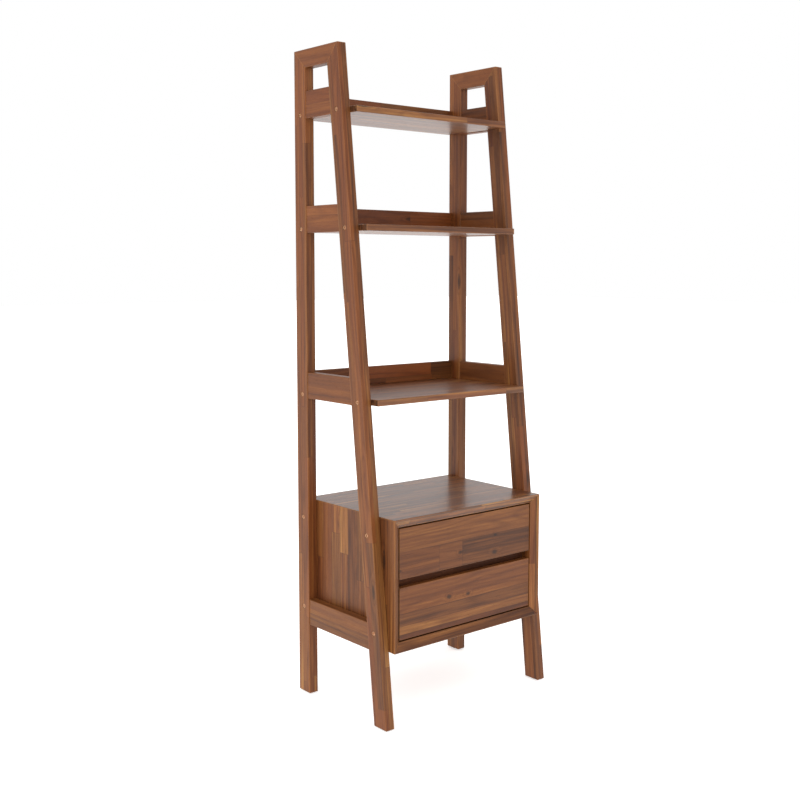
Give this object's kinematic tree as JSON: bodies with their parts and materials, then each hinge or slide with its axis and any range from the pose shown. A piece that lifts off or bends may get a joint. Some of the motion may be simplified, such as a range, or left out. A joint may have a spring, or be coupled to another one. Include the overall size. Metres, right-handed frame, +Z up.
{
  "type": "ladder shelf",
  "caption": "Free-standing wooden ladder shelf with sloped front legs, open shelves with low back rails, and a case with stacked drawers opened by a finger gap.",
  "frame": {"origin": "centre of the bounding box's base, on the floor", "axes": "+Z up, front faces -Y, +X to the right seen from the front"},
  "size_m": [0.6, 0.4, 1.8],
  "materials": {
    "frame_wood": "satin oiled mid-brown hardwood, grain along each member",
    "board_wood": "satin oiled hardwood staves glued edge to edge",
    "inner_wood": "plain matt wood inside the case",
    "bolt_metal": "satin bronze-coloured plating",
    "glide_plastic": "matt black"
  },
  "bodies": {
    "frame": {"left_rear_post": "frame_wood", "left_front_leg": "frame_wood", "left_top_rail": "frame_wood", "left_bottom_rail": "frame_wood", "left_lower_rail": "frame_wood", "left_middle_rail": "frame_wood", "left_upper_rail": "frame_wood", "left_lower_rear_bolt": "bolt_metal", "left_lower_front_bolt": "bolt_metal", "left_middle_rear_bolt": "bolt_metal", "left_middle_front_bolt": "bolt_metal", "left_upper_rear_bolt": "bolt_metal", "left_upper_front_bolt": "bolt_metal", "left_case_upper_rear_bolt": "bolt_metal", "left_case_upper_front_bolt": "bolt_metal", "left_case_lower_rear_bolt": "bolt_metal", "left_case_lower_front_bolt": "bolt_metal", "left_rear_glide": "glide_plastic", "left_front_glide": "glide_plastic", "right_rear_post": "frame_wood", "right_front_leg": "frame_wood", "right_top_rail": "frame_wood", "right_bottom_rail": "frame_wood", "right_lower_rail": "frame_wood", "right_middle_rail": "frame_wood", "right_upper_rail": "frame_wood", "right_lower_rear_bolt": "bolt_metal", "right_lower_front_bolt": "bolt_metal", "right_middle_rear_bolt": "bolt_metal", "right_middle_front_bolt": "bolt_metal", "right_upper_rear_bolt": "bolt_metal", "right_upper_front_bolt": "bolt_metal", "right_case_upper_rear_bolt": "bolt_metal", "right_case_upper_front_bolt": "bolt_metal", "right_case_lower_rear_bolt": "bolt_metal", "right_case_lower_front_bolt": "bolt_metal", "right_rear_glide": "glide_plastic", "right_front_glide": "glide_plastic", "lower_shelf": "board_wood", "lower_back_rail": "board_wood", "middle_shelf": "board_wood", "middle_back_rail": "board_wood", "upper_shelf": "board_wood", "upper_back_rail": "board_wood", "case_top": "board_wood", "case_bottom": "board_wood", "case_left_side": "board_wood", "case_right_side": "board_wood", "case_back_panel": "inner_wood", "drawer_divider": "inner_wood"},
    "upper_drawer": {"upper_drawer_front": "board_wood", "upper_drawer_left_side": "inner_wood", "upper_drawer_right_side": "inner_wood", "upper_drawer_back": "inner_wood", "upper_drawer_bottom": "inner_wood"},
    "lower_drawer": {"lower_drawer_front": "board_wood", "lower_drawer_left_side": "inner_wood", "lower_drawer_right_side": "inner_wood", "lower_drawer_back": "inner_wood", "lower_drawer_bottom": "inner_wood"}
  },
  "joints": [
    {"name": "upper_drawer_slide", "type": "slide", "parent": "frame", "child": "upper_drawer", "axis": [0, -1, 0], "range_m": [0, 0.25]},
    {"name": "lower_drawer_slide", "type": "slide", "parent": "frame", "child": "lower_drawer", "axis": [0, -1, 0], "range_m": [0, 0.25]}
  ]
}
